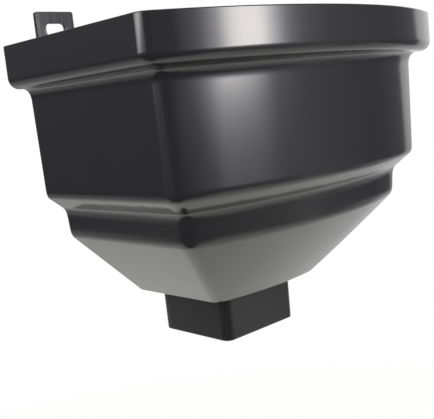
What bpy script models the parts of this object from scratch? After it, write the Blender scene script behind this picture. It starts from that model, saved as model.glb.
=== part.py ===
"""Rainwater hopper head: a D-shaped basin that steps in twice, funnels down at
45 degrees and ends in a square pipe spigot, with two slotted lugs to screw it to a wall.

Metres, +Z up. The wall is the plane Y = 0 and the bowed front faces -Y. The origin lies on
the wall face, on the centre line, DATUM_DROP below the rim.
"""
from math import atan2, cos, hypot, pi, radians, sin, sqrt

import bmesh
import bpy
from mathutils import Vector

MM = 0.001

# Plan of the rim: straight back on the wall, straight sides and a bowed front.
RIM_WIDTH = 250.0 * MM
RIM_SIDE_DEPTH = 131.7 * MM
BOW_RISE = 27.9 * MM
FRONT_CORNER_RADIUS = 8.2 * MM
BACK_CORNER_RADIUS = 1.0 * MM
WALL = 2.5 * MM
EDGE_RADIUS = 0.8 * MM

# Section down the side: how far each stretch runs in from the one above, and where it ends.
DATUM_DROP = 60.0 * MM
RIM_HEIGHT = 25.3 * MM
RIM_STEP = 13.6 * MM
RIM_STEP_FALL = 0.5 * MM
BODY_HEIGHT = 66.5 * MM
BODY_DRAFT = 1.4 * MM
LOWER_STEP = 12.3 * MM
LOWER_STEP_HEIGHT = 10.1 * MM
BAND_HEIGHT = 16.7 * MM
BAND_DRAFT = 1.3 * MM
FUNNEL_HEIGHT = 48.4 * MM
FUNNEL_ANGLE = radians(44.2)

# Mouldings where those stretches meet.
RIM_UNDER_RADIUS = 6.7 * MM
RIM_STEP_RADIUS = 4.8 * MM
BODY_END_RADIUS = 5.8 * MM
BAND_TOP_RADIUS = 3.8 * MM
BAND_END_RADIUS = 6.7 * MM
FUNNEL_END_RADIUS = 2.5 * MM

# Spigot that fits a square downpipe.
SPIGOT_SIDE = 65.0 * MM
SPIGOT_LENGTH = 30.8 * MM
SPIGOT_WALL_GAP = 2.5 * MM
SPIGOT_CORNER_RADIUS = 6.0 * MM
SPIGOT_ROOT_RADIUS = 1.5 * MM
SPIGOT_DRAFT = 0.3 * MM
OUTLET_LIP_RADIUS = 1.5 * MM

# Screw lugs that stand up from the back wall.
LUG_SPACING = 178.3 * MM
LUG_WIDTH = 26.3 * MM
LUG_RISE = 19.6 * MM
LUG_ROOT = 10.5 * MM
LUG_THICKNESS = 3.0 * MM
LUG_SETBACK = 0.2 * MM
LUG_CORNER_RADIUS = 1.5 * MM
SLOT_WIDTH = 13.7 * MM
SLOT_HEIGHT = 7.5 * MM
SLOT_TOP_GAP = 7.0 * MM
SLOT_CORNER_RADIUS = 2.9 * MM

# Facets.
CORNER_STEPS = 5
BOW_STEPS = 22
FILLET_STEPS = 4
EDGE_STEPS = 2

# The bow is an arc through both front corners, with its centre behind the wall.
HALF_WIDTH = RIM_WIDTH / 2
BOW_RADIUS = (HALF_WIDTH ** 2 + BOW_RISE ** 2) / (2 * BOW_RISE)
BOW_CENTRE_Y = BOW_RADIUS - BOW_RISE - RIM_SIDE_DEPTH

# Roundings that a thinner wall or a closer pipe would make smaller.
EDGE = min(EDGE_RADIUS, 0.4 * WALL)
SPIGOT_ROOT = min(SPIGOT_ROOT_RADIUS, 0.6 * SPIGOT_WALL_GAP)
OUTLET_LIP = min(OUTLET_LIP_RADIUS, 0.8 * WALL)


def arc(centre, radius, start, end, steps):
    """Points on a circle from angle start to angle end, both ends included."""
    angles = [start + (end - start) * i / steps for i in range(steps + 1)]
    return [(centre[0] + radius * cos(a), centre[1] + radius * sin(a)) for a in angles]


def mirrored(right_half):
    """The left half that matches a right half, so the loop runs on round the outline."""
    return [(-x, y) for x, y in reversed(right_half)]


def basin_outline(half_width, back_gap, front_radius, back_radius):
    """D-shaped loop, anticlockwise from the back right corner's far end to its start.

    Every loop is the rim's own outline moved in by the same distance all round, so the bow
    keeps its centre and its radius shrinks with the half width.
    """
    bow_radius = BOW_RADIUS - (HALF_WIDTH - half_width)
    corner_x = half_width - front_radius
    reach = bow_radius - front_radius
    corner_y = BOW_CENTRE_Y - sqrt(reach ** 2 - corner_x ** 2)
    meet = atan2(corner_y - BOW_CENTRE_Y, corner_x)
    front_corner = arc((corner_x, corner_y), front_radius, meet, 0.0, CORNER_STEPS)
    back_centre = (half_width - back_radius, -back_gap - back_radius)
    back_corner = arc(back_centre, back_radius, 0.0, pi / 2, CORNER_STEPS)
    right_half = front_corner + back_corner
    bow = arc((0.0, BOW_CENTRE_Y), bow_radius, -pi - meet, meet, BOW_STEPS)
    return right_half + mirrored(right_half) + bow[1:-1]


def pipe_outline(grow):
    """Rounded square loop of the spigot, larger by grow all round, with as many points."""
    half = SPIGOT_SIDE / 2 + grow
    radius = SPIGOT_CORNER_RADIUS + grow
    centre_y = -SPIGOT_WALL_GAP - SPIGOT_SIDE / 2
    inner = half - radius
    front_corner = arc((inner, centre_y - inner), radius, -pi / 2, 0.0, CORNER_STEPS)
    back_corner = arc((inner, centre_y + inner), radius, 0.0, pi / 2, CORNER_STEPS)
    right_half = front_corner + back_corner
    front = [(-inner + 2 * inner * i / BOW_STEPS, centre_y - half) for i in range(BOW_STEPS + 1)]
    return right_half + mirrored(right_half) + front[1:-1]


def section_corners():
    """Sharp corners of the outer section, as (half width, height, rounding radius)."""
    x = HALF_WIDTH
    z = DATUM_DROP
    corners = [(x, z, 0.0)]
    z -= RIM_HEIGHT
    corners.append((x, z, RIM_UNDER_RADIUS))
    x -= RIM_STEP
    z -= RIM_STEP_FALL
    corners.append((x, z, RIM_STEP_RADIUS))
    x -= BODY_DRAFT
    z -= BODY_HEIGHT
    corners.append((x, z, BODY_END_RADIUS))
    x -= LOWER_STEP
    z -= LOWER_STEP_HEIGHT
    corners.append((x, z, BAND_TOP_RADIUS))
    x -= BAND_DRAFT
    z -= BAND_HEIGHT
    corners.append((x, z, BAND_END_RADIUS))
    x -= FUNNEL_HEIGHT / sin(FUNNEL_ANGLE) * cos(FUNNEL_ANGLE)
    z -= FUNNEL_HEIGHT
    corners.append((x, z, FUNNEL_END_RADIUS))
    corners.append((0.0, z, 0.0))
    return corners


def turn(before, corner, after):
    """Angle by which the section turns at a corner: negative where it turns inwards."""
    heading_in = atan2(corner[1] - before[1], corner[0] - before[0])
    heading_out = atan2(after[1] - corner[1], after[0] - corner[0])
    return (heading_out - heading_in + pi) % (2 * pi) - pi


def inset_corners(corners, depth):
    """The section of the inner skin: each stretch moved in by depth along its normal."""
    lines = []
    for a, b in zip(corners, corners[1:]):
        length = hypot(b[0] - a[0], b[1] - a[1])
        along = Vector(((b[0] - a[0]) / length, (b[1] - a[1]) / length))
        inward = Vector((along.y, -along.x))
        lines.append((Vector(a[:2]) + inward * depth, along))
    first = lines[0][0]
    inset = [(first.x, corners[0][1], 0.0)]
    for i in range(1, len(lines)):
        point, along = lines[i - 1]
        other, heading = lines[i]
        travel = (other - point).cross(heading) / along.cross(heading)
        meeting = point + along * travel
        bend = turn(corners[i - 1], corners[i], corners[i + 1])
        radius = corners[i][2] + (depth if bend > 0 else -depth)
        inset.append((meeting.x, meeting.y, max(radius, EDGE)))
    inset.append((0.0, lines[-1][0].y, 0.0))
    return inset


def rounded_path(corners, steps):
    """Section with an arc at each inner corner; the two end points stay out of it."""
    path = []
    for before, corner, after in zip(corners, corners[1:], corners[2:]):
        radius = corner[2]
        bend = turn(before, corner, after)
        length = hypot(corner[0] - before[0], corner[1] - before[1])
        heading = atan2(corner[1] - before[1], corner[0] - before[0])
        back = radius * abs(sin(bend / 2) / cos(bend / 2))
        start = (corner[0] - back * (corner[0] - before[0]) / length,
                 corner[1] - back * (corner[1] - before[1]) / length)
        side = pi / 2 if bend > 0 else -pi / 2
        centre = (start[0] + radius * cos(heading + side), start[1] + radius * sin(heading + side))
        path += arc(centre, radius, heading - side, heading - side + bend, steps)
    return path


def ring(outline, z):
    return [Vector((x, y, z)) for x, y in outline]


def rim_edges():
    """Rings over the rim's top edge, from the inner skin to the outer skin."""
    rings = []
    quarter = [pi / 2 * i / EDGE_STEPS for i in range(EDGE_STEPS + 1)]
    for a in quarter:
        inset = WALL - EDGE + EDGE * cos(a)
        z = DATUM_DROP - EDGE + EDGE * sin(a)
        rings.append(ring(skin_outline(HALF_WIDTH - inset, inset), z))
    for a in reversed(quarter):
        inset = EDGE - EDGE * cos(a)
        z = DATUM_DROP - EDGE + EDGE * sin(a)
        rings.append(ring(skin_outline(HALF_WIDTH - inset, inset), z))
    return rings


def skin_outline(half_width, depth):
    """Basin loop at a given depth into the wall, with its corners that much tighter."""
    front_radius = max(FRONT_CORNER_RADIUS - depth, EDGE)
    return basin_outline(half_width, depth, front_radius, BACK_CORNER_RADIUS)


def spigot_rings(floor_z):
    """Rings from the root of the spigot, round its open end and up the bore to the floor."""
    end_z = floor_z - SPIGOT_LENGTH
    rings = []
    for i in range(FILLET_STEPS + 1):
        a = pi / 2 * i / FILLET_STEPS
        grow = SPIGOT_ROOT * (1 - sin(a))
        rings.append(ring(pipe_outline(grow), floor_z - SPIGOT_ROOT * (1 - cos(a))))
    end_edges = [pi / 2 * i / EDGE_STEPS for i in range(EDGE_STEPS + 1)]
    for a in end_edges:
        grow = -SPIGOT_DRAFT - EDGE * (1 - cos(a))
        rings.append(ring(pipe_outline(grow), end_z + EDGE * (1 - sin(a))))
    for a in reversed(end_edges):
        grow = -SPIGOT_DRAFT - WALL + EDGE * (1 - cos(a))
        rings.append(ring(pipe_outline(grow), end_z + EDGE * (1 - sin(a))))
    for i in range(EDGE_STEPS + 1):
        a = pi / 2 * i / EDGE_STEPS
        grow = -WALL + OUTLET_LIP * (1 - cos(a))
        z = floor_z + WALL - OUTLET_LIP * (1 - sin(a))
        rings.append(ring(pipe_outline(grow), z))
    return rings


def loft(rings):
    """Skin a closed chain of rings, each with the same number of points."""
    mesh = bmesh.new()
    loops = [[mesh.verts.new(point) for point in points] for points in rings]
    for this, following in zip(loops, loops[1:] + loops[:1]):
        for i in range(len(this)):
            j = (i + 1) % len(this)
            mesh.faces.new((this[i], following[i], following[j], this[j]))
    bmesh.ops.recalc_face_normals(mesh, faces=mesh.faces)
    return mesh


def new_object(name, mesh, material):
    data = bpy.data.meshes.new(name)
    mesh.to_mesh(data)
    mesh.free()
    data.materials.append(material)
    thing = bpy.data.objects.new(name, data)
    bpy.context.scene.collection.objects.link(thing)
    return thing


def hopper_shell():
    """The moulded shell as one closed chain of rings: outside, spigot, bore and inside."""
    outer = section_corners()
    inner = inset_corners(outer, WALL)
    rings = rim_edges()
    for x, z in rounded_path(outer, FILLET_STEPS):
        rings.append(ring(skin_outline(x, 0.0), z))
    rings += spigot_rings(outer[-1][1])
    for x, z in reversed(rounded_path(inner, FILLET_STEPS)):
        rings.append(ring(skin_outline(x, WALL), z))
    return loft(rings)


def rounded_rectangle(width, bottom, top, radius):
    """Loop of a rectangle with round corners, centred on x = 0."""
    x = width / 2 - radius
    loop = arc((x, top - radius), radius, 0.0, pi / 2, CORNER_STEPS)
    loop += arc((-x, top - radius), radius, pi / 2, pi, CORNER_STEPS)
    loop += arc((-x, bottom + radius), radius, pi, 3 * pi / 2, CORNER_STEPS)
    loop += arc((x, bottom + radius), radius, 3 * pi / 2, 2 * pi, CORNER_STEPS)
    return loop


def lug(centre_x):
    """Flat lug with its screw slot, rooted in the back wall."""
    top = DATUM_DROP + LUG_RISE
    slot_top = top - SLOT_TOP_GAP
    plate = rounded_rectangle(LUG_WIDTH, DATUM_DROP - LUG_ROOT, top, LUG_CORNER_RADIUS)
    slot = rounded_rectangle(SLOT_WIDTH, slot_top - SLOT_HEIGHT, slot_top, SLOT_CORNER_RADIUS)
    back = -LUG_SETBACK
    front = back - LUG_THICKNESS
    rings = []
    for loop, y in ((plate, back), (plate, front), (slot, front), (slot, back)):
        rings.append([Vector((centre_x + x, y, z)) for x, z in loop])
    return loft(rings)


def moulded_pvc():
    """Gloss black rigid PVC, as it leaves a polished mould."""
    material = bpy.data.materials.new("gloss_black_pvc")
    material.use_nodes = True
    shader = material.node_tree.nodes["Principled BSDF"]
    shader.inputs["Base Color"].default_value = (0.022, 0.022, 0.024, 1.0)
    shader.inputs["Roughness"].default_value = 0.24
    shader.inputs["Metallic"].default_value = 0.0
    return material


def build():
    for thing in list(bpy.data.objects):
        bpy.data.objects.remove(thing, do_unlink=True)
    material = moulded_pvc()
    hopper = new_object("hopper_body", hopper_shell(), material)
    for side, x in (("left", -LUG_SPACING / 2), ("right", LUG_SPACING / 2)):
        plate = new_object("lug_" + side, lug(x), material)
        plate.hide_render = True
        plate.display_type = "WIRE"
        join = hopper.modifiers.new("join_lug_" + side, "BOOLEAN")
        join.operation = "UNION"
        join.solver = "EXACT"
        join.object = plate
    hopper.data.shade_smooth()
    hopper.data.set_sharp_from_angle(angle=radians(30.0))


build()
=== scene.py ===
"""Gloss black rainwater hopper head, seen from its left front at the height of its body.

Metres, +Z up. The wall is the plane y = 0, the bowed front faces -y, and the origin lies on
the wall face 60 mm below the rim. The camera and every surface are in that same frame.
"""
from math import cos, pi, radians, sin

import bpy
import numpy as np
from mathutils import Matrix, Vector


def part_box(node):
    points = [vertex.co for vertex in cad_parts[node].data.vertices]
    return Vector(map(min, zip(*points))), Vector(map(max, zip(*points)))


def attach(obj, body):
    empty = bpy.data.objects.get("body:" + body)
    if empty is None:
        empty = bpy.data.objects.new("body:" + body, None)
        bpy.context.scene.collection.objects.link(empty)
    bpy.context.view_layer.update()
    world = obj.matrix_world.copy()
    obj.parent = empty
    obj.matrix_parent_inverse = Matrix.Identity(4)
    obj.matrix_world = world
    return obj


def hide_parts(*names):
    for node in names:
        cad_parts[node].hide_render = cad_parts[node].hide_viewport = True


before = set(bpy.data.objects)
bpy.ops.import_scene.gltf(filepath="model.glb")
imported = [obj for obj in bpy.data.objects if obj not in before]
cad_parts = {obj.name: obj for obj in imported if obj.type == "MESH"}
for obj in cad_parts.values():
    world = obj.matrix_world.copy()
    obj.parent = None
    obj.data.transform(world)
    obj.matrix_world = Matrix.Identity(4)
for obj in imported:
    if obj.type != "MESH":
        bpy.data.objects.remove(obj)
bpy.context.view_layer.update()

MM = 0.001
NODE_LOW, NODE_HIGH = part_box("hopper_body")

# Plan of the rim: straight back on the wall, straight sides and a bowed front.
RIM_WIDTH = NODE_HIGH.x - NODE_LOW.x
CROWN_DEPTH = NODE_HIGH.y - NODE_LOW.y
BOW_RISE = 27.9 * MM
FRONT_CORNER_RADIUS = 8.2 * MM
BACK_CORNER_RADIUS = 1.0 * MM
WALL = 2.5 * MM
EDGE_RADIUS = 0.8 * MM

# Section down the side, from the rim to the flat bottom.
LUG_RISE = 19.6 * MM
RIM_TOP = NODE_HIGH.z - LUG_RISE
RIM_HEIGHT = 25.3 * MM
RIM_STEP = 13.6 * MM
RIM_STEP_FALL = 0.5 * MM
BODY_HEIGHT = 66.5 * MM
BODY_DRAFT = 1.4 * MM
LOWER_STEP = 12.3 * MM
LOWER_STEP_HEIGHT = 10.1 * MM
BAND_HEIGHT = 16.7 * MM
BAND_DRAFT = 1.3 * MM
FUNNEL_HEIGHT = 48.4 * MM
FUNNEL_ANGLE = radians(44.2)

# Mouldings where those stretches meet. A swell of 1 is a plain arc, and a larger one makes a
# moulding gentle where it leaves the upright wall and tight where it meets a step.
RIM_UNDER_RADIUS = 6.7 * MM
RIM_STEP_RADIUS = 6.0 * MM
BODY_END_RADIUS = 7.2 * MM
BAND_TOP_RADIUS = 8.8 * MM
BAND_END_RADIUS = 10.0 * MM
FUNNEL_END_RADIUS = 2.5 * MM
ARC = 1.0
SWELL = 1.9

# Spigot for a square downpipe.
SPIGOT_SIDE = 65.0 * MM
SPIGOT_WALL_GAP = 2.5 * MM
SPIGOT_CORNER_RADIUS = 6.0 * MM
SPIGOT_ROOT_RADIUS = 1.5 * MM
SPIGOT_DRAFT = 0.3 * MM
SPIGOT_END = NODE_LOW.z
OUTLET_LIP_RADIUS = 1.5 * MM

# Screw lugs that stand up from the back wall.
LUG_SPACING = 178.3 * MM
LUG_WIDTH = 26.3 * MM
LUG_ROOT = 10.5 * MM
LUG_THICKNESS = 3.0 * MM
LUG_SETBACK = 0.2 * MM
LUG_CORNER_RADIUS = 1.5 * MM
LUG_EDGE_RADIUS = 0.3 * MM
SLOT_WIDTH = 13.7 * MM
SLOT_HEIGHT = 7.5 * MM
SLOT_TOP_GAP = 7.0 * MM
SLOT_CORNER_RADIUS = 2.9 * MM

# The bow is an arc through both front corners, with its centre behind the wall.
HALF_WIDTH = RIM_WIDTH / 2
BOW_RADIUS = (HALF_WIDTH ** 2 + BOW_RISE ** 2) / (2 * BOW_RISE)
BOW_CENTRE_Y = BOW_RADIUS - CROWN_DEPTH

# Fineness of the grid.
CORNER_STEPS = 14
BOW_STEPS = 72
SIDE_STEPS = 22
BACK_STEPS = 40
FILLET_STEPS = 16
FILLET_FINENESS = 40
EDGE_STEPS = 6
STRAIGHT_LENGTH = 6.0 * MM
RING_STEPS = 8
SHARP_ANGLE = radians(35.0)
NORMAL_WEIGHT = 50

# How far each edge is rubbed by handling and screws, from 0 to 1. The wear of a slot reaches
# as far as SLOT_RUB_REACH round it, and is full from SLOT_RUB_DROP below its top.
RIM_RUB = 0.15
SPIGOT_RUB = 0.5
LUG_RUB = 0.1
SLOT_RUB = 1.0
SLOT_RUB_REACH = 3.0 * MM
SLOT_RUB_DROP = 4.0 * MM

# Finish of the moulding. Waves are where the wall shrank, marks are left by polishing the tool.
# Real ones are a few hundredths of a millimetre deep, and are drawn deeper so that they show.
WAVE_WIDTH = 18.0 * MM
WAVE_STRETCH = 0.25
WAVE_DEPTH = 0.10 * MM
MARK_WIDTH = 3.5 * MM
MARK_STRETCH = 0.08
MARK_DEPTH = 0.11 * MM
SCUFF_WIDTH = 1.2 * MM
SCUFF_DEPTH = 0.05 * MM
SCUFF_SHADE = (0.35, 0.65)
SCUFF_LEAST = 0.4
RUB_FALLOFF = 2.0
GLOSS_SHADE = (0.3, 0.7)
GLOSS_ROUGHNESS = (0.08, 0.10)
CORE_ROUGHNESS = 0.26
RUBBED_ROUGHNESS = 0.48
PVC_IOR = 1.5

# Where the eye is: place, heading, tilt, roll and lens.
CAMERA_PLACE = Vector((-0.34278, -0.40760, 0.01547))
CAMERA_YAW = radians(42.552)
CAMERA_PITCH = radians(-8.267)
CAMERA_ROLL = radians(-5.997)
CAMERA_LENS = 61.66
SENSOR_WIDTH = 36.0

# Studio, all about the origin. The floor keeps its own shade as far as FLOOR_NEAR, but for a
# share of FLOOR_LIFT, and the eye sees plain white from FLOOR_FAR on.
FLOOR_Z = -0.9
FLOOR_SPREAD = 30.0
FLOOR_LIFT = 0.3
FLOOR_NEAR = 0.9
FLOOR_FAR = 2.2
WORLD_LEVEL = 0.55

# Softboxes: where each stands by azimuth in degrees and by the height of its middle, how large
# it is, how bright its core is, and how it fades.
LAMP_DISTANCE = 1.6
KEY_SOFTBOX = {"azimuth": 16.0, "height": 0.2, "width": 1.3, "tall": 1.22, "radiance": 17.2}
KEY_FADE = {"core_reach": 0.219, "core_shift": -0.079, "power": 4.0, "core_low": 0.11,
            "tilt": 0.22, "fade": 0.103}
LEFT_SOFTBOX = {"azimuth": -94.5, "height": 0.35, "width": 2.3, "tall": 1.4, "radiance": 8.2}
LEFT_FADE = {"core_reach": 0.60, "core_shift": 0.0, "power": 2.5, "core_low": 0.22,
             "tilt": 0.1, "fade": 0.055}
FADE_COUPLING = 0.35
OVERHEAD_PLACE = Vector((0.3, -0.3, 2.1))
OVERHEAD_SIDE = 1.6
OVERHEAD_RADIANCE = 6.9

# Round wall of glowing cards with a lid, and the low card in front of the foot. The cards are no
# lamps: their greys are painted reflections of a room, seen only in the gloss, and the low card
# is dark at the front left with a painted shadow. The painted shades of the wall lean by so many
# degrees a metre, and change from low to level between LOW_Z and SINK_Z. The painted glow of the
# wall brightens from DIM_Z up to HIGH_Z, and dims to TOP_SHARE of that by TOP_Z.
CARD_DISTANCE = 1.9
CARD_LOW = -0.88
CARD_HIGH = 2.2
CARD_STEPS = 121
LID_HOLE = 0.01
WALL_LEAN = 12.0
LOW_Z = -0.72
SINK_Z = -0.4
DIM_Z = -0.5
HIGH_Z = 0.40
TOP_Z = 0.9
DIM_STRENGTH = 0.85
HIGH_STRENGTH = 1.5
TOP_SHARE = 0.4
# Outline of the low card's painted shadow: two lines across the floor, how soft they are, and from
# how far out the card lies all round.
PAINTED_SHADOW_LINES = ((1.0, 0.3, 0.2), (0.56, 1.0, 0.24))
PAINTED_SHADOW_BLUR = 0.16
PAINTED_SHADOW_NEAR = 1.25
PAINTED_SHADOW_FAR = 2.1

# How light the wall looks round the hopper, level with it and low down, by azimuth. The greys
# are no free choice: they were set by hand, as PAINTED_SHADOW_LINES was, against the brightness of
# the photograph by direction of reflection, which a scratch script measured and printed.
# Painted reflections: these greys glow in the gloss as a room would look. The lighter stretch from
# -136 to -66 degrees is a painted glow beside the left softbox, and the bright one from 24 to 46
# degrees is a painted glow beside the key softbox.
PAINTED_REFLECTION_LEVEL = ((-180, "#6A6A6F"), (-156, "#5F5F64"), (-144, "#68686D"), (-136, "#75757B"),
              (-126, "#828288"), (-108, "#7C7C82"), (-84, "#7A7A80"), (-74, "#909096"),
              (-66, "#7E7E84"), (-56, "#69696F"), (-20, "#5C5C62"), (-8, "#74747A"),
              (14, "#86868A"), (24, "#D2D2D6"), (30, "#D4D4D6"), (37, "#BCBCBF"),
              (46, "#A4A4A8"), (54, "#8E8E92"), (62, "#76767A"), (72, "#6A6A6E"),
              (85, "#747478"), (86.7, "#808082"), (88.6, "#E9E9E9"), (128, "#F0F0F0"),
              (136, "#A0A0A3"), (150, "#767679"), (180, "#6A6A6F"))
# Low down, the greys are a painted reflection of the floor. The dark stretch from -140 to -14
# degrees is a painted shadow, as of a person standing at the front left.
PAINTED_REFLECTION_LOW = ((-180, "#D2D2D0"), (-158, "#C8C8C6"), (-150, "#BEBEBC"), (-140, "#707070"),
            (-20, "#484848"), (-14, "#6A6A6A"), (-5, "#8A8A8A"), (3, "#AEAEAE"),
            (9, "#BEBEBE"), (23, "#B4B4B4"), (28, "#CCCCCC"), (33, "#ECECEC"),
            (38, "#DEDEDE"), (44, "#AEAEAE"), (52, "#B8B8B8"), (59, "#D2D2D2"),
            (72, "#CACACA"), (79, "#E6E6E6"), (88, "#FFFFFF"), (128, "#FFFFFF"),
            (150, "#D2D2D0"), (180, "#D2D2D0"))

# Colours, as sRGB.
PVC_BLACK = "#18181A"
PVC_FLOW = "#1C1C1E"
PVC_RUBBED = "#6A6A6A"
FLOOR_WHITE = "#F0F0E9"
LAMP_WARM = "#FFFAF6"
LAMP_COOL = "#F5F6FC"


def between(start, end, steps):
    """Columns that go evenly from one column of values to the next, last one left out."""
    share = np.arange(steps) / steps
    return start[:, None] + (end - start)[:, None] * share


def arc_columns(centre_x, centre_y, radius, start, end, steps):
    """Circle arcs, one for each row: centre + radius (cos a, sin a), a from start to end."""
    angle = start[:, None] + (end - start)[:, None] * np.arange(steps) / steps
    x = centre_x[:, None] + radius[:, None] * np.cos(angle)
    y = centre_y[:, None] + radius[:, None] * np.sin(angle)
    return x, y


def basin_loops(half_width, depth):
    """D-shaped loops, one row for each half width, anticlockwise from the front right corner.

    Each loop is the rim's outline moved in by the same distance all round, so the bow keeps
    its centre and its radius shrinks with the half width. Depth is how far inside the outer
    skin the loop lies: it tightens the front corners and moves the back off the wall.
    """
    half_width = np.asarray(half_width, float)
    depth = np.broadcast_to(depth, half_width.shape)
    zero = np.zeros_like(half_width)
    front = np.maximum(FRONT_CORNER_RADIUS - depth, EDGE_RADIUS)
    back = zero + BACK_CORNER_RADIUS
    bow = BOW_RADIUS - (HALF_WIDTH - half_width)
    corner_x = half_width - front
    corner_y = BOW_CENTRE_Y - np.sqrt((bow - front) ** 2 - corner_x ** 2)
    meet = np.arctan2(corner_y - BOW_CENTRE_Y, corner_x)
    back_x = half_width - back
    back_y = -depth - back
    centre_y = zero + BOW_CENTRE_Y
    quarter = zero + pi / 2
    half = zero + pi
    parts = [
        arc_columns(corner_x, corner_y, front, meet, zero, CORNER_STEPS),
        (between(half_width, half_width, SIDE_STEPS), between(corner_y, back_y, SIDE_STEPS)),
        arc_columns(back_x, back_y, back, zero, quarter, EDGE_STEPS),
        (between(back_x, -back_x, BACK_STEPS), between(-depth, -depth, BACK_STEPS)),
        arc_columns(-back_x, back_y, back, quarter, half, EDGE_STEPS),
        (between(-half_width, -half_width, SIDE_STEPS), between(back_y, corner_y, SIDE_STEPS)),
        arc_columns(-corner_x, corner_y, front, half, -meet + half, CORNER_STEPS),
        arc_columns(zero, centre_y, bow, -half - meet, meet, BOW_STEPS),
    ]
    return np.hstack([x for x, y in parts]), np.hstack([y for x, y in parts])


def pipe_loops(grow):
    """Rounded square loops of the spigot, one row for each amount it is larger all round.

    The stretches have as many columns as those of the basin, so the two skins join.
    """
    grow = np.asarray(grow, float)
    zero = np.zeros_like(grow)
    half = SPIGOT_SIDE / 2 + grow
    radius = SPIGOT_CORNER_RADIUS + grow
    centre_y = zero - SPIGOT_WALL_GAP - SPIGOT_SIDE / 2
    inner = half - radius
    low = centre_y - inner
    high = centre_y + inner
    back = centre_y + half
    front = centre_y - half
    quarter = zero + pi / 2
    parts = [
        arc_columns(inner, low, radius, -quarter, zero, CORNER_STEPS),
        (between(half, half, SIDE_STEPS), between(low, high, SIDE_STEPS)),
        arc_columns(inner, high, radius, zero, quarter, EDGE_STEPS),
        (between(inner, -inner, BACK_STEPS), between(back, back, BACK_STEPS)),
        arc_columns(-inner, high, radius, quarter, 2 * quarter, EDGE_STEPS),
        (between(-half, -half, SIDE_STEPS), between(high, low, SIDE_STEPS)),
        arc_columns(-inner, low, radius, 2 * quarter, 3 * quarter, CORNER_STEPS),
        (between(-inner, inner, BOW_STEPS), between(front, front, BOW_STEPS)),
    ]
    return np.hstack([x for x, y in parts]), np.hstack([y for x, y in parts])


def section_corners():
    """Sharp corners of the outer section: rows of half width, height, rounding and swell."""
    falls = [
        (0.0, RIM_HEIGHT, RIM_UNDER_RADIUS, ARC),
        (RIM_STEP, RIM_STEP_FALL, RIM_STEP_RADIUS, SWELL),
        (BODY_DRAFT, BODY_HEIGHT, BODY_END_RADIUS, SWELL),
        (LOWER_STEP, LOWER_STEP_HEIGHT, BAND_TOP_RADIUS, SWELL),
        (BAND_DRAFT, BAND_HEIGHT, BAND_END_RADIUS, SWELL),
        (FUNNEL_HEIGHT * cos(FUNNEL_ANGLE) / sin(FUNNEL_ANGLE), FUNNEL_HEIGHT, FUNNEL_END_RADIUS,
         ARC),
    ]
    corners = [(HALF_WIDTH, RIM_TOP, 0.0, ARC)]
    for inward, fall, radius, swell in falls:
        corners.append((corners[-1][0] - inward, corners[-1][1] - fall, radius, swell))
    corners.append((0.0, corners[-1][1], 0.0, ARC))
    return np.array(corners)


def inset_section(corners, depth):
    """The inner skin's section: each stretch moved in along its normal, then met again."""
    along = np.diff(corners[:, :2], axis=0)
    along /= np.hypot(*along.T)[:, None]
    shifted = corners[:-1, :2] + depth * np.stack((along[:, 1], -along[:, 0]), axis=1)
    this, following = along[:-1], along[1:]
    gap = shifted[1:] - shifted[:-1]
    turn = this[:, 0] * following[:, 1] - this[:, 1] * following[:, 0]
    travel = (gap[:, 0] * following[:, 1] - gap[:, 1] * following[:, 0]) / turn
    meeting = shifted[:-1] + this * travel[:, None]
    radius = np.maximum(corners[1:-1, 2] + np.sign(turn) * depth, EDGE_RADIUS)
    first = (shifted[0, 0], corners[0, 1], 0.0, ARC)
    last = (0.0, shifted[-1, 1], 0.0, ARC)
    return np.vstack((first, np.column_stack((meeting, radius, corners[1:-1, 3])), last))


def swelling_turn(bend, swell, late):
    """Curve of unit length that turns by bend, as points from its start along the x axis.

    Its heading is bend times t^swell where it is late, so that it turns harder and harder, and
    bend times 1 - (1 - t)^swell where it is early.
    """
    t = (np.arange(FILLET_STEPS * FILLET_FINENESS) + 0.5) / (FILLET_STEPS * FILLET_FINENESS)
    heading = bend * (t ** swell if late else 1 - (1 - t) ** swell)
    steps = np.column_stack((np.cos(heading), np.sin(heading))) / len(t)
    points = np.vstack(((0.0, 0.0), np.cumsum(steps, axis=0)))
    return points[::FILLET_FINENESS]


def rounded_section(corners):
    """Half widths and heights down a section, with a swelling turn at each corner.

    A turn clears its corner by as much as an arc of the given radius would. Every other turn
    leaves an upright stretch, and those between lead into one, so they swell the other way.
    """
    path = [corners[:1, :2]]
    for place, (a, b, c) in enumerate(zip(corners[:-2], corners[1:-1], corners[2:])):
        heading = np.arctan2(b[1] - a[1], b[0] - a[0])
        bend = (np.arctan2(c[1] - b[1], c[0] - b[0]) - heading + pi) % (2 * pi) - pi
        curve = swelling_turn(bend, b[3], late=place % 2 == 0)
        cut = curve[-1, 0] - curve[-1, 1] / np.tan(bend)
        clearance = np.hypot(curve[:, 0] - cut, curve[:, 1]).min()
        size = b[2] * (1 / np.cos(bend / 2) - 1) / clearance
        along = np.array((np.cos(heading), np.sin(heading)))
        across = np.array((-along[1], along[0]))
        curve = b[:2] + size * ((curve[:, :1] - cut) * along + curve[:, 1:] * across)
        length = np.hypot(*(curve[0] - path[-1][-1]))
        steps = max(1, round(length / STRAIGHT_LENGTH))
        share = (np.arange(1, steps) / steps)[:, None]
        path += [path[-1][-1] + (curve[0] - path[-1][-1]) * share, curve]
    path = np.vstack(path)
    return path[:, 0], path[:, 1]


def rows(loops, height):
    """Points of a stack of loops, each at its own height: array of row, column and axis."""
    x, y = loops
    return np.stack((x, y, np.broadcast_to(np.asarray(height)[:, None], x.shape)), axis=-1)


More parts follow.
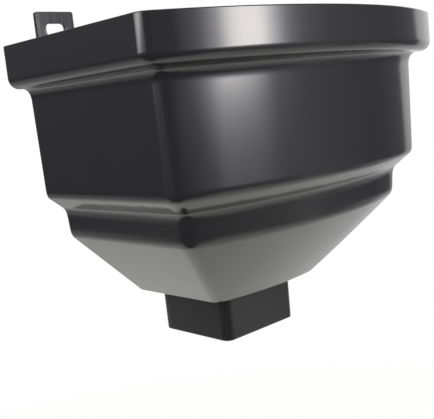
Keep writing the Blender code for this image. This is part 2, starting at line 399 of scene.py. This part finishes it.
def shell_surface():
    """Points of the whole moulding, a grid that closes on itself both ways.

    A row goes round the plan. The rows run over the rim's round edge, down the outer skin,
    across the flat bottom, down the spigot, round its end, up the bore and back up the
    inner skin. With them come the marks of each row: how far it is on the core side, inside,
    and how far it is rubbed.
    """
    outer = section_corners()
    inner = inset_section(outer, WALL)
    quarter = np.arange(EDGE_STEPS + 1) / EDGE_STEPS * pi / 2
    floor = outer[-1, 1]

    inner_edge = WALL - EDGE_RADIUS + EDGE_RADIUS * np.cos(quarter)
    outer_edge = EDGE_RADIUS - EDGE_RADIUS * np.cos(quarter[::-1])
    edge = np.concatenate((inner_edge, outer_edge))
    edge_z = RIM_TOP - EDGE_RADIUS + EDGE_RADIUS * np.sin(np.concatenate((quarter, quarter[::-1])))
    rim = rows(basin_loops(HALF_WIDTH - edge, edge), edge_z)

    down_x, down_z = rounded_section(outer)
    outside = rows(basin_loops(down_x[1:], 0.0), down_z[1:])

    root = np.linspace(0.0, pi / 2, EDGE_STEPS + 1)
    root_grow = SPIGOT_ROOT_RADIUS * (1 - np.sin(root))
    root_rows = rows(pipe_loops(root_grow), floor - SPIGOT_ROOT_RADIUS * (1 - np.cos(root)))
    share = (np.arange(1, RING_STEPS) / RING_STEPS)[:, None, None]
    bottom = outside[-1] + (root_rows[0] - outside[-1]) * share

    wall_share = np.arange(1, RING_STEPS) / RING_STEPS
    wall_top = floor - SPIGOT_ROOT_RADIUS
    wall_z = wall_top + (SPIGOT_END + EDGE_RADIUS - wall_top) * wall_share
    spigot = rows(pipe_loops(-SPIGOT_DRAFT * wall_share), wall_z)

    end_z = SPIGOT_END + EDGE_RADIUS * (1 - np.sin(np.concatenate((quarter, quarter[::-1]))))
    lip_out = -SPIGOT_DRAFT - EDGE_RADIUS * (1 - np.cos(quarter))
    lip_in = -SPIGOT_DRAFT - WALL + EDGE_RADIUS * (1 - np.cos(quarter[::-1]))
    spigot_lip = rows(pipe_loops(np.concatenate((lip_out, lip_in))), end_z)

    bore_top = floor + WALL - OUTLET_LIP_RADIUS
    bore_z = SPIGOT_END + EDGE_RADIUS + (bore_top - SPIGOT_END - EDGE_RADIUS) * wall_share
    bore = rows(pipe_loops(-WALL - SPIGOT_DRAFT * (1 - wall_share)), bore_z)
    lip = np.linspace(0.0, pi / 2, EDGE_STEPS + 1)
    outlet = rows(pipe_loops(-WALL + OUTLET_LIP_RADIUS * (1 - np.cos(lip))),
                  bore_top + OUTLET_LIP_RADIUS * np.sin(lip))

    up_x, up_z = rounded_section(inner)
    inside = rows(basin_loops(up_x[:0:-1], WALL), up_z[:0:-1])
    basin_floor = outlet[-1] + (inside[0] - outlet[-1]) * share

    crest = np.sin(np.concatenate((quarter, quarter[::-1])))
    inner_side = np.concatenate((np.cos(quarter), np.zeros(len(quarter))))
    stretches = [
        (rim, inner_side, RIM_RUB * crest),
        (outside, 0.0, 0.0),
        (bottom, 0.0, 0.0),
        (root_rows, 0.0, 0.0),
        (spigot, 0.0, 0.0),
        (spigot_lip, inner_side[::-1], SPIGOT_RUB * crest),
        (bore, 1.0, 0.0),
        (outlet, 1.0, 0.0),
        (basin_floor, 1.0, 0.0),
        (inside, 1.0, 0.0),
    ]
    points = np.concatenate([part for part, core, rub in stretches])
    core = np.concatenate([np.broadcast_to(core, len(part)) for part, core, rub in stretches])
    rub = np.concatenate([np.broadcast_to(rub, len(part)) for part, core, rub in stretches])
    return points, {"core_side": core[:, None], "rubbed": rub[:, None], "lug": 0.0}


def rounded_rectangle(width, bottom, top, radius):
    """Loops of rectangles with round corners about x = 0, one row for each radius and size."""
    x = width / 2 - radius
    low = bottom + radius
    high = top - radius
    zero = np.zeros_like(x)
    quarter = zero + pi / 2
    corners = [
        arc_columns(x, high, radius, zero, quarter, CORNER_STEPS + 1),
        arc_columns(-x, high, radius, quarter, 2 * quarter, CORNER_STEPS + 1),
        arc_columns(-x, low, radius, 2 * quarter, 3 * quarter, CORNER_STEPS + 1),
        arc_columns(x, low, radius, 3 * quarter, 4 * quarter, CORNER_STEPS + 1),
    ]
    return np.hstack([a for a, b in corners]), np.hstack([b for a, b in corners])


def lug_surface(centre_x):
    """Points of a flat lug with a slot, a grid that closes on itself both ways.

    A row goes round the plate or the slot. The rows run from the back of the plate's edge,
    round it to the front, across to the slot, through it and back behind the plate. With them
    come the marks: how far each point is rubbed, most of all in the slot, whose wear ends on a
    ring round it and comes on below its top, where the screw bears.
    """
    quarter = np.arange(EDGE_STEPS + 1) / EDGE_STEPS * pi / 2
    round_in = LUG_EDGE_RADIUS * (1 - np.sin(quarter[::-1]))
    round_y = LUG_EDGE_RADIUS * (1 - np.cos(quarter[::-1]))
    shrink = np.concatenate((round_in[::-1], round_in))
    y = np.concatenate((-LUG_SETBACK - round_y[::-1], -LUG_SETBACK - LUG_THICKNESS + round_y))
    top = RIM_TOP + LUG_RISE
    slot_top = top - SLOT_TOP_GAP
    plate = rounded_rectangle(LUG_WIDTH - 2 * shrink, RIM_TOP - LUG_ROOT + shrink, top - shrink,
                              LUG_CORNER_RADIUS - shrink)
    grow = np.pad(shrink, 1, constant_values=SLOT_RUB_REACH)
    slot = rounded_rectangle(SLOT_WIDTH + 2 * grow, slot_top - SLOT_HEIGHT - grow,
                             slot_top + grow, SLOT_CORNER_RADIUS + grow)
    x = np.vstack((plate[0], slot[0][::-1]))[::-1]
    z = np.vstack((plate[1], slot[1][::-1]))[::-1]
    y = np.concatenate((y, np.pad(y, 1, mode="edge")[::-1]))[::-1]
    points = np.stack((centre_x + x, np.broadcast_to(y[:, None], x.shape), z), axis=-1)
    plate_rub = np.pad(np.full(len(shrink) - 2, LUG_RUB), 1)
    slot_rub = np.pad(np.full(len(shrink), SLOT_RUB), 1)
    rub = np.concatenate((plate_rub, slot_rub))[::-1, None]
    rub = rub * np.clip((slot_top - z) / SLOT_RUB_DROP, 0.0, 1.0)
    return points, {"core_side": 0.0, "rubbed": rub, "lug": 1.0}


def closed_grids(name, surfaces):
    """Mesh of grids that close both ways: quad (i, j) joins rows i, i+1 and columns j, j+1.

    Each mark gives every point, every row or a whole grid a value, for the finish to read.
    """
    quads = []
    start = 0
    for points, marks in surfaces:
        count, columns = points.shape[:2]
        i, j = np.meshgrid(np.arange(count), np.arange(columns), indexing="ij")
        below = (i + 1) % count
        beside = (j + 1) % columns
        corners = (i * columns + j, below * columns + j, below * columns + beside,
                   i * columns + beside)
        quads.append(start + np.stack(corners, axis=-1).reshape(-1, 4))
        start += count * columns
    mesh = bpy.data.meshes.new(name)
    mesh.from_pydata(np.vstack([points.reshape(-1, 3) for points, marks in surfaces]), [],
                     np.vstack(quads))
    for mark in surfaces[0][1]:
        values = [np.broadcast_to(marks[mark], points.shape[:2]).ravel()
                  for points, marks in surfaces]
        layer = mesh.attributes.new(mark, "FLOAT", "POINT")
        layer.data.foreach_set("value", np.concatenate(values))
    thing = bpy.data.objects.new(name, mesh)
    bpy.context.scene.collection.objects.link(thing)
    return thing


def hopper_moulding():
    """The whole moulding in one closed skin: the shell joined with its two lugs.

    All three are in one mesh when they are joined, so that every point keeps its marks.
    """
    moulding = closed_grids("hopper_moulding", [shell_surface(), lug_surface(-LUG_SPACING / 2),
                                                lug_surface(LUG_SPACING / 2)])
    join = moulding.modifiers.new("join_lugs", "BOOLEAN")
    join.operation = "UNION"
    join.solver = "EXACT"
    join.operand_type = "COLLECTION"
    join.use_self = True
    depsgraph = bpy.context.evaluated_depsgraph_get()
    skin = bpy.data.meshes.new_from_object(moulding.evaluated_get(depsgraph))
    moulding.modifiers.clear()
    moulding.data = skin
    skin.shade_smooth()
    skin.set_sharp_from_angle(angle=SHARP_ANGLE)
    level = moulding.modifiers.new("level_normals", "WEIGHTED_NORMAL")
    level.keep_sharp = True
    level.weight = NORMAL_WEIGHT
    return moulding


def linear(colour):
    """A colour written as sRGB hex, turned to the linear values that a shader takes."""
    value = np.array([int(colour[i:i + 2], 16) for i in (1, 3, 5)]) / 255
    value = np.where(value <= 0.04045, value / 12.92, ((value + 0.055) / 1.055) ** 2.4)
    return (*value.tolist(), 1.0)


def node(tree, kind, inputs=None, **settings):
    """Adds a node with its settings. Each input is a value or another node's output."""
    made = tree.nodes.new(kind)
    for name, value in settings.items():
        setattr(made, name, value)
    for name, value in (inputs or {}).items():
        if isinstance(value, bpy.types.NodeSocket):
            tree.links.new(value, made.inputs[name])
        else:
            made.inputs[name].default_value = value
    return made


def gloss_pvc():
    """Rigid PVC, pigmented black and moulded against polished steel.

    The eye sees a deep, even black under a clear, hard gloss. It sees too that the wall waves
    a little where it shrank, that the lugs keep upright marks of the tool, that the core side
    within is satin, and that slots and lips are rubbed grey and dull. Real scuffs are under
    0.1 mm wide, too fine to show, so they are drawn 1.2 mm wide.
    """
    material = bpy.data.materials.new("gloss_black_pvc")
    material.use_nodes = True
    tree = material.node_tree
    shader = tree.nodes["Principled BSDF"]
    shader.inputs["IOR"].default_value = PVC_IOR
    place = node(tree, "ShaderNodeTexCoord").outputs["Object"]
    core = node(tree, "ShaderNodeAttribute", attribute_name="core_side").outputs["Fac"]
    rubbed = node(tree, "ShaderNodeAttribute", attribute_name="rubbed").outputs["Fac"]
    lug = node(tree, "ShaderNodeAttribute", attribute_name="lug").outputs["Fac"]

    upright = node(tree, "ShaderNodeMapping", {"Vector": place, "Scale": (1.0, 1.0, WAVE_STRETCH)})
    waves = node(tree, "ShaderNodeTexNoise", {"Vector": upright.outputs[0], "Detail": 1.0,
                                              "Scale": 1 / WAVE_WIDTH}).outputs["Fac"]
    upright = node(tree, "ShaderNodeMapping", {"Vector": place, "Scale": (1.0, 1.0, MARK_STRETCH)})
    marks = node(tree, "ShaderNodeTexNoise", {"Vector": upright.outputs[0], "Detail": 2.0,
                                              "Scale": 1 / MARK_WIDTH}).outputs["Fac"]
    scuffs = node(tree, "ShaderNodeTexNoise", {"Vector": place, "Detail": 3.0,
                                               "Scale": 1 / SCUFF_WIDTH}).outputs["Fac"]
    low, high = SCUFF_SHADE
    patchy = node(tree, "ShaderNodeMapRange", {0: scuffs, 1: low, 2: high, 3: SCUFF_LEAST, 4: 1.0})
    near_edge = node(tree, "ShaderNodeMath", {0: rubbed, 1: RUB_FALLOFF}, operation="POWER")
    worn = node(tree, "ShaderNodeMath", {0: near_edge.outputs[0], 1: patchy.outputs[0]},
                operation="MULTIPLY").outputs[0]

    black = node(tree, "ShaderNodeMix", {0: waves, 6: linear(PVC_BLACK), 7: linear(PVC_FLOW)},
                 data_type="RGBA")
    colour = node(tree, "ShaderNodeMix", {0: worn, 6: black.outputs[2], 7: linear(PVC_RUBBED)},
                  data_type="RGBA")
    low, high = GLOSS_SHADE
    least, most = GLOSS_ROUGHNESS
    gloss = node(tree, "ShaderNodeMapRange", {0: scuffs, 1: low, 2: high, 3: least, 4: most})
    satin = node(tree, "ShaderNodeMix", {0: core, 2: gloss.outputs[0], 3: CORE_ROUGHNESS})
    dull = node(tree, "ShaderNodeMix", {0: worn, 2: satin.outputs[0], 3: RUBBED_ROUGHNESS})

    wave = node(tree, "ShaderNodeMath", {0: waves, 1: WAVE_DEPTH}, operation="MULTIPLY")
    mark = node(tree, "ShaderNodeMath", {0: marks, 1: MARK_DEPTH}, operation="MULTIPLY")
    mark = node(tree, "ShaderNodeMath", {0: mark.outputs[0], 1: lug, 2: wave.outputs[0]},
                operation="MULTIPLY_ADD")
    scuff = node(tree, "ShaderNodeMath", {0: scuffs, 1: SCUFF_DEPTH}, operation="MULTIPLY")
    height = node(tree, "ShaderNodeMath", {0: scuff.outputs[0], 1: worn, 2: mark.outputs[0]},
                  operation="MULTIPLY_ADD")
    bump = node(tree, "ShaderNodeBump", {"Height": height.outputs[0], "Distance": 1.0})
    tree.links.new(colour.outputs[2], shader.inputs["Base Color"])
    tree.links.new(dull.outputs[0], shader.inputs["Roughness"])
    tree.links.new(bump.outputs[0], shader.inputs["Normal"])
    return material


def place_camera():
    """Turns the camera to its heading, tilt and roll, and stands it where the eye is."""
    heading = Vector((sin(CAMERA_YAW) * cos(CAMERA_PITCH), cos(CAMERA_YAW) * cos(CAMERA_PITCH),
                      sin(CAMERA_PITCH)))
    level = Vector((cos(CAMERA_YAW), -sin(CAMERA_YAW), 0.0))
    upward = level.cross(heading)
    right = level * cos(CAMERA_ROLL) + upward * sin(CAMERA_ROLL)
    up = upward * cos(CAMERA_ROLL) - level * sin(CAMERA_ROLL)
    camera = bpy.data.objects.new("camera", bpy.data.cameras.new("camera"))
    bpy.context.scene.collection.objects.link(camera)
    turn = Matrix((right, up, -heading)).transposed()
    camera.matrix_world = Matrix.Translation(CAMERA_PLACE) @ turn.to_4x4()
    camera.data.sensor_width = SENSOR_WIDTH
    camera.data.lens = CAMERA_LENS
    bpy.context.scene.camera = camera


def softbox(name, azimuth, height, width, tall, radiance):
    """Upright area lamp of a given radiance that faces the hopper from a given azimuth."""
    lamp = bpy.data.lights.new(name, "AREA")
    lamp.shape = "RECTANGLE"
    lamp.size = width
    lamp.size_y = tall
    lamp.energy = radiance * pi * width * tall
    thing = bpy.data.objects.new(name, lamp)
    out = Vector((sin(radians(azimuth)), -cos(radians(azimuth)), 0.0))
    thing.location = out * LAMP_DISTANCE + Vector((0.0, 0.0, height))
    thing.rotation_euler = out.to_track_quat("Z", "Y").to_euler()
    thing.visible_camera = False
    bpy.context.scene.collection.objects.link(thing)
    return thing


def overhead_softbox():
    """Area lamp above the set, which lights the floor and stays out of the gloss."""
    lamp = bpy.data.lights.new("overhead_softbox", "AREA")
    lamp.size = OVERHEAD_SIDE
    lamp.energy = OVERHEAD_RADIANCE * pi * OVERHEAD_SIDE ** 2
    thing = bpy.data.objects.new("overhead_softbox", lamp)
    thing.location = OVERHEAD_PLACE
    thing.visible_camera = False
    thing.visible_glossy = False
    bpy.context.scene.collection.objects.link(thing)


def soften(thing, core_reach, core_shift, power, core_low, tilt, fade):
    """Lets an upright softbox fade as 1 / (1 + a + b + k a b) towards its sides and down.

    Here a is (across / reach)^power, b is (below core / fade)^2 and k their coupling. The core
    may lie to one side of the middle, and its lower edge may be tilted. Its light is warm, and
    cool where it has faded.
    """
    lamp = thing.data
    lamp.use_nodes = True
    tree = lamp.node_tree
    tree.nodes.clear()
    place = node(tree, "ShaderNodeNewGeometry")
    apart = node(tree, "ShaderNodeSeparateXYZ", {0: place.outputs["Parametric"]})
    middle = -lamp.size / 2 - core_shift
    beside = node(tree, "ShaderNodeMath", {0: apart.outputs["X"], 1: lamp.size, 2: middle},
                  operation="MULTIPLY_ADD")
    edge = core_low - thing.location.z + lamp.size_y / 2
    edge = node(tree, "ShaderNodeMath", {0: beside.outputs[0], 1: tilt, 2: edge},
                operation="MULTIPLY_ADD")
    across = node(tree, "ShaderNodeMath", {0: beside.outputs[0]}, operation="ABSOLUTE")
    across = node(tree, "ShaderNodeMath", {0: across.outputs[0], 1: 1 / core_reach},
                  operation="MULTIPLY")
    across = node(tree, "ShaderNodeMath", {0: across.outputs[0], 1: power}, operation="POWER")
    below = node(tree, "ShaderNodeMath", {0: apart.outputs["Y"], 1: -lamp.size_y,
                                          2: edge.outputs[0]}, operation="MULTIPLY_ADD")
    below = node(tree, "ShaderNodeMath", {0: below.outputs[0], 1: 0.0}, operation="MAXIMUM")
    below = node(tree, "ShaderNodeMath", {0: below.outputs[0], 1: 1 / fade}, operation="MULTIPLY")
    below = node(tree, "ShaderNodeMath", {0: below.outputs[0], 1: 2.0}, operation="POWER")
    both = node(tree, "ShaderNodeMath", {0: below.outputs[0], 1: FADE_COUPLING, 2: 1.0},
                operation="MULTIPLY_ADD")
    total = node(tree, "ShaderNodeMath", {0: across.outputs[0], 1: both.outputs[0],
                                          2: below.outputs[0]}, operation="MULTIPLY_ADD")
    total = node(tree, "ShaderNodeMath", {0: total.outputs[0], 1: 1.0}, operation="ADD")
    share = node(tree, "ShaderNodeMath", {0: 1.0, 1: total.outputs[0]}, operation="DIVIDE")
    tint = node(tree, "ShaderNodeMix", {0: share.outputs[0], 6: linear(LAMP_COOL),
                                        7: linear(LAMP_WARM)}, data_type="RGBA")
    glow = node(tree, "ShaderNodeEmission",
                {"Color": tint.outputs[2], "Strength": share.outputs[0]})
    node(tree, "ShaderNodeOutputLight", {"Surface": glow.outputs[0]})


def grey_ramp(tree, factor, stops):
    """Ramp of greys, written as pairs of a place from -180 to 180 degrees and a colour."""
    made = node(tree, "ShaderNodeValToRGB", {0: factor})
    ramp = made.color_ramp
    ramp.interpolation = "B_SPLINE"
    for azimuth, colour in stops:
        mark = ramp.elements.new((azimuth + 180) / 360)
        mark.color = linear(colour)
    ramp.elements.remove(ramp.elements[0])
    ramp.elements.remove(ramp.elements[len(ramp.elements) - 1])
    return made.outputs["Color"]


def painted_shadow_gap(tree, apart, place):
    """How far the low card, dark with a painted shadow, has thinned out: 0 where it lies, 1 where
    the bare floor shows.

    It lies before two lines across the floor, and all round where it is far from the foot. A
    point is before a line while a x + b y + c is negative, and every edge is soft.
    """
    gap = 0.0
    for along_x, along_y, shift in PAINTED_SHADOW_LINES:
        beyond = node(tree, "ShaderNodeMath", {0: apart.outputs["X"], 1: along_x, 2: shift},
                      operation="MULTIPLY_ADD")
        beyond = node(tree, "ShaderNodeMath",
                      {0: apart.outputs["Y"], 1: along_y, 2: beyond.outputs[0]},
                      operation="MULTIPLY_ADD")
        beyond = node(tree, "ShaderNodeMapRange",
                      {0: beyond.outputs[0], 1: -PAINTED_SHADOW_BLUR, 2: PAINTED_SHADOW_BLUR},
                      interpolation_type="SMOOTHSTEP")
        gap = node(tree, "ShaderNodeMath", {0: gap, 1: beyond.outputs[0]},
                   operation="MAXIMUM").outputs[0]
    far_off = node(tree, "ShaderNodeVectorMath", {0: place}, operation="LENGTH")
    near = node(tree, "ShaderNodeMapRange", {0: far_off.outputs["Value"], 1: PAINTED_SHADOW_FAR,
                                             2: PAINTED_SHADOW_NEAR}, interpolation_type="SMOOTHSTEP")
    return node(tree, "ShaderNodeMath", {0: gap, 1: near.outputs[0]},
                operation="MINIMUM").outputs[0]


def painted_reflection_glow(name, lies_low):
    """Glowing card, no lamp: a painted reflection of the room it stands for, by its azimuth and
    its height.

    The eye sees it only as soft greys mirrored in the gloss. A card that lies low is dark at the
    front left with a painted shadow, and thins out to bare floor at its gap.
    """
    card = bpy.data.materials.new(name)
    card.use_nodes = True
    tree = card.node_tree
    tree.nodes.clear()
    place = node(tree, "ShaderNodeTexCoord")
    apart = node(tree, "ShaderNodeSeparateXYZ", {0: place.outputs["Object"]})
    front = node(tree, "ShaderNodeMath", {0: apart.outputs["Y"], 1: -1.0}, operation="MULTIPLY")
    turn = node(tree, "ShaderNodeMath", {0: apart.outputs["X"], 1: front.outputs[0]},
                operation="ARCTAN2")
    lean = node(tree, "ShaderNodeMath", {0: apart.outputs["Z"], 1: radians(WALL_LEAN),
                                         2: turn.outputs[0]}, operation="MULTIPLY_ADD")
    share = node(tree, "ShaderNodeMapRange", {0: lean.outputs[0], 1: -pi, 2: pi}, clamp=False)
    share = node(tree, "ShaderNodeMath", {0: share.outputs[0]}, operation="FRACT")
    level = grey_ramp(tree, share.outputs[0], PAINTED_REFLECTION_LEVEL)
    sunken = grey_ramp(tree, share.outputs[0], PAINTED_REFLECTION_LOW)
    sink = node(tree, "ShaderNodeMapRange", {0: apart.outputs["Z"], 1: SINK_Z, 2: LOW_Z},
                interpolation_type="SMOOTHSTEP")
    shade = node(tree, "ShaderNodeMix", {0: sink.outputs[0], 6: level, 7: sunken},
                 data_type="RGBA")
    # Painted light: the card's glow grows brighter with height and dims towards the lid.
    rise = node(tree, "ShaderNodeMapRange", {0: apart.outputs["Z"], 1: DIM_Z, 2: HIGH_Z,
                                             3: DIM_STRENGTH, 4: HIGH_STRENGTH},
                interpolation_type="SMOOTHSTEP")
    top = node(tree, "ShaderNodeMapRange", {0: apart.outputs["Z"], 1: HIGH_Z, 2: TOP_Z,
                                            3: 1.0, 4: TOP_SHARE},
               interpolation_type="SMOOTHSTEP")
    strength = node(tree, "ShaderNodeMath", {0: rise.outputs[0], 1: top.outputs[0]},
                    operation="MULTIPLY")
    # The card is no lamp: its glow is a painted reflection.
    glow = node(tree, "ShaderNodeEmission",
                {"Color": shade.outputs[2], "Strength": strength.outputs[0]})
    if lies_low:
        gap = painted_shadow_gap(tree, apart, place.outputs["Object"])
        clear = node(tree, "ShaderNodeBsdfTransparent")
        glow = node(tree, "ShaderNodeMixShader", {0: gap, 1: glow.outputs[0], 2: clear.outputs[0]})
    node(tree, "ShaderNodeOutputMaterial", {"Surface": glow.outputs[0]})
    return card


def stand_card(name, points, card):
    """Card over a grid of points, which shows in the gloss of the hopper and nowhere else."""
    count, columns = points.shape[:2]
    i, j = np.meshgrid(np.arange(count - 1), np.arange(columns - 1), indexing="ij")
    first = i * columns + j
    corners = (first, first + 1, first + columns + 1, first + columns)
    mesh = bpy.data.meshes.new(name)
    mesh.from_pydata(points.reshape(-1, 3), [], np.stack(corners, axis=-1).reshape(-1, 4))
    mesh.materials.append(card)
    thing = bpy.data.objects.new(name, mesh)
    bpy.context.scene.collection.objects.link(thing)
    thing.visible_camera = False
    thing.visible_diffuse = False
    thing.visible_shadow = False


def painted_reflection_cards():
    """A round wall of glowing cards with a lid, painted reflections of a room, and a round card
    with a soft gap that lies low, dark at the front left with a painted shadow.
    """
    turn = np.radians(np.linspace(-180.0, 180.0, CARD_STEPS))
    height = np.array((CARD_LOW, CARD_HIGH, CARD_HIGH))
    radius = np.array((CARD_DISTANCE, CARD_DISTANCE, LID_HOLE))
    turn_grid, height_grid = np.meshgrid(turn, height)
    radius_grid = np.broadcast_to(radius[:, None], turn_grid.shape)
    wall = (radius_grid * np.sin(turn_grid), -radius_grid * np.cos(turn_grid), height_grid)
    stand_card("painted_reflection_wall", np.stack(wall, axis=-1), painted_reflection_glow("painted_reflection_card", False))
    turn_grid, radius_grid = np.meshgrid(turn, np.array((LID_HOLE, CARD_DISTANCE)))
    floor = (radius_grid * np.sin(turn_grid), -radius_grid * np.cos(turn_grid),
             np.full_like(turn_grid, CARD_LOW))
    stand_card("painted_shadow_sheet", np.stack(floor, axis=-1), painted_reflection_glow("painted_shadow_card", True))


def seen_by_eye(tree):
    """1 for what the eye sees straight, in a gloss or through a clear surface; else 0."""
    path = node(tree, "ShaderNodeLightPath")
    seen = path.outputs["Is Camera Ray"]
    for ray in ("Is Glossy Ray", "Is Transmission Ray"):
        seen = node(tree, "ShaderNodeMath", {0: seen, 1: path.outputs[ray]},
                    operation="MAXIMUM").outputs[0]
    return seen


def pale_floor():
    """Wide matt floor below the hopper. The eye sees it fade into the white round about."""
    mesh = bpy.data.meshes.new("floor")
    far = FLOOR_SPREAD
    mesh.from_pydata([(-far, -far, FLOOR_Z), (far, -far, FLOOR_Z), (far, far, FLOOR_Z),
                      (-far, far, FLOOR_Z)], [], [(0, 1, 2, 3)])
    paint = bpy.data.materials.new("matt_white_paint")
    paint.use_nodes = True
    tree = paint.node_tree
    tree.nodes.clear()
    place = node(tree, "ShaderNodeTexCoord")
    far_off = node(tree, "ShaderNodeVectorMath", {0: place.outputs["Object"]}, operation="LENGTH")
    fade = node(tree, "ShaderNodeMapRange", {0: far_off.outputs["Value"], 1: FLOOR_NEAR,
                                             2: FLOOR_FAR, 3: FLOOR_LIFT, 4: 1.0})
    share = node(tree, "ShaderNodeMath", {0: seen_by_eye(tree), 1: fade.outputs[0]},
                 operation="MULTIPLY")
    matt = node(tree, "ShaderNodeBsdfDiffuse", {"Color": linear(FLOOR_WHITE)})
    white = node(tree, "ShaderNodeEmission", {"Color": (1.0, 1.0, 1.0, 1.0), "Strength": 1.0})
    mix = node(tree, "ShaderNodeMixShader",
               {0: share.outputs[0], 1: matt.outputs[0], 2: white.outputs[0]})
    node(tree, "ShaderNodeOutputMaterial", {"Surface": mix.outputs[0]})
    mesh.materials.append(paint)
    floor = bpy.data.objects.new("floor", mesh)
    bpy.context.scene.collection.objects.link(floor)


def white_surroundings():
    """World that looks white to the eye and in gloss, and lights the set at a plain level."""
    world = bpy.data.worlds.new("studio")
    bpy.context.scene.world = world
    world.use_nodes = True
    tree = world.node_tree
    tree.nodes.clear()
    dim = node(tree, "ShaderNodeBackground",
               {"Color": (1.0, 1.0, 1.0, 1.0), "Strength": WORLD_LEVEL})
    white = node(tree, "ShaderNodeBackground", {"Color": (1.0, 1.0, 1.0, 1.0), "Strength": 1.0})
    mix = node(tree, "ShaderNodeMixShader",
               {0: seen_by_eye(tree), 1: dim.outputs[0], 2: white.outputs[0]})
    node(tree, "ShaderNodeOutputWorld", {"Surface": mix.outputs[0]})


place_camera()

hopper = hopper_moulding()
hopper.data.materials.clear()
hopper.data.materials.append(gloss_pvc())
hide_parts("hopper_body")
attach(hopper, "root")

pale_floor()
painted_reflection_cards()
white_surroundings()
soften(softbox("key_softbox", **KEY_SOFTBOX), **KEY_FADE)
soften(softbox("left_softbox", **LEFT_SOFTBOX), **LEFT_FADE)
overhead_softbox()

bpy.context.scene.view_settings.view_transform = "Standard"
